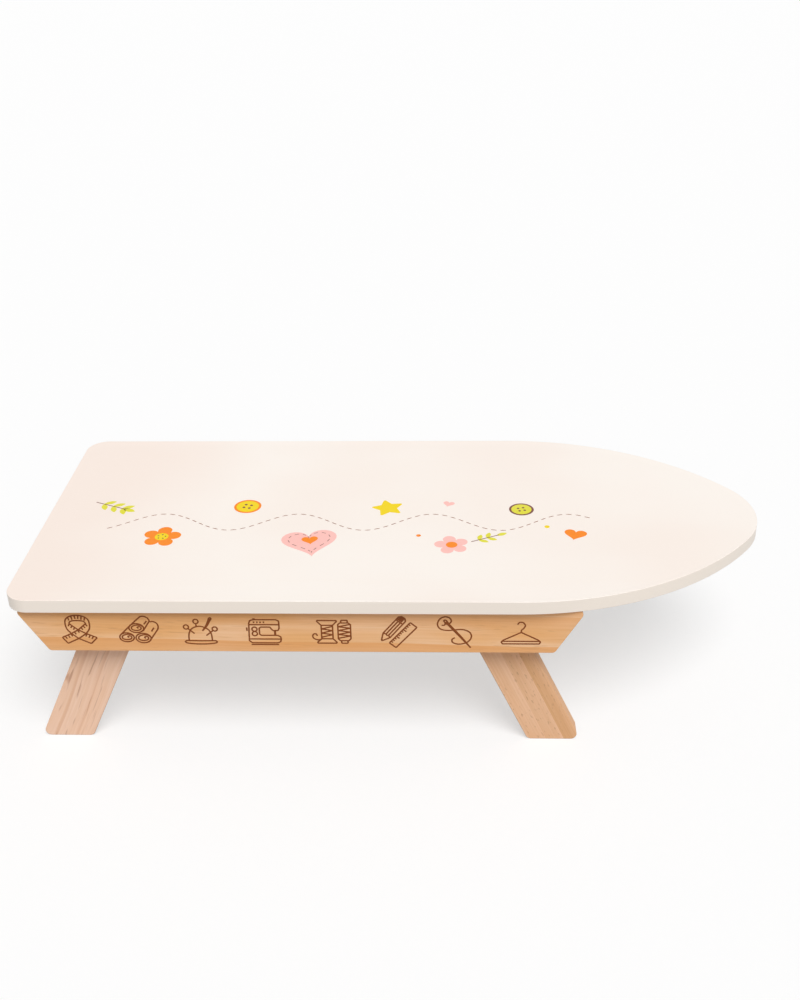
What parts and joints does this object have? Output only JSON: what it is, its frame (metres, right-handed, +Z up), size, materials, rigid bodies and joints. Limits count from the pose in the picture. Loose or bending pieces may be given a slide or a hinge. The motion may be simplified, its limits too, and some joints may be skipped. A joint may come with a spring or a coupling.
{
  "type": "toy ironing board",
  "caption": "Wooden toy ironing board with a round nose: a painted top on a pine frame of sloping-ended rails, and splayed leg pairs that fold in under it.",
  "frame": {"origin": "on the surface that the feet stand on, under the middle of the board's length and width", "axes": "+X along the board to its round nose, -Y to the front, where the rail with the line figures is, +Z up"},
  "size_m": [0.485, 0.225, 0.12],
  "materials": {
    "painted_top": "satin cream paint over wood, with a band of small coloured prints across the top",
    "rail_pine": "clear matt lacquer on pine, with brown line figures on the front rail",
    "leg_pine": "bare pale pine, sanded",
    "frame_pine": "bare pine, sanded",
    "beech": "bare beech, turned",
    "steel": "zinc-plated",
    "brass": "plain brass"
  },
  "bodies": {
    "board": {"top_board": "painted_top", "front_rail": "rail_pine", "rear_rail": "rail_pine", "left_cross_rail": "frame_pine", "right_cross_rail": "frame_pine", "left_front_upper_dowel": "beech", "left_front_lower_dowel": "beech", "left_rear_upper_dowel": "beech", "left_rear_lower_dowel": "beech", "right_front_upper_dowel": "beech", "right_front_lower_dowel": "beech", "right_rear_upper_dowel": "beech", "right_rear_lower_dowel": "beech", "left_front_screw": "steel", "left_rear_screw": "steel", "right_front_screw": "steel", "right_rear_screw": "steel", "left_front_pivot_bolt": "steel", "left_rear_pivot_bolt": "steel", "right_front_pivot_bolt": "steel", "right_rear_pivot_bolt": "steel", "left_front_rail_washer": "steel", "left_rear_rail_washer": "steel", "right_front_rail_washer": "steel", "right_rear_rail_washer": "steel", "left_front_head_washer": "steel", "left_rear_head_washer": "steel", "right_front_head_washer": "steel", "right_rear_head_washer": "steel", "left_front_threaded_insert": "brass", "left_rear_threaded_insert": "brass", "right_front_threaded_insert": "brass", "right_rear_threaded_insert": "brass"},
    "left_legs": {"left_front_leg": "leg_pine", "left_rear_leg": "leg_pine", "left_stretcher": "beech"},
    "right_legs": {"right_front_leg": "leg_pine", "right_rear_leg": "leg_pine", "right_stretcher": "beech"}
  },
  "joints": [
    {"name": "left_legs_fold", "type": "hinge", "parent": "board", "child": "left_legs", "pos_m": [-0.17819, 0, 0.09485], "axis": [0, -1, 0], "range_deg": [0, 115]},
    {"name": "right_legs_fold", "type": "hinge", "parent": "board", "child": "right_legs", "pos_m": [0.05948, 0, 0.09485], "axis": [0, 1, 0], "range_deg": [0, 115]}
  ]
}
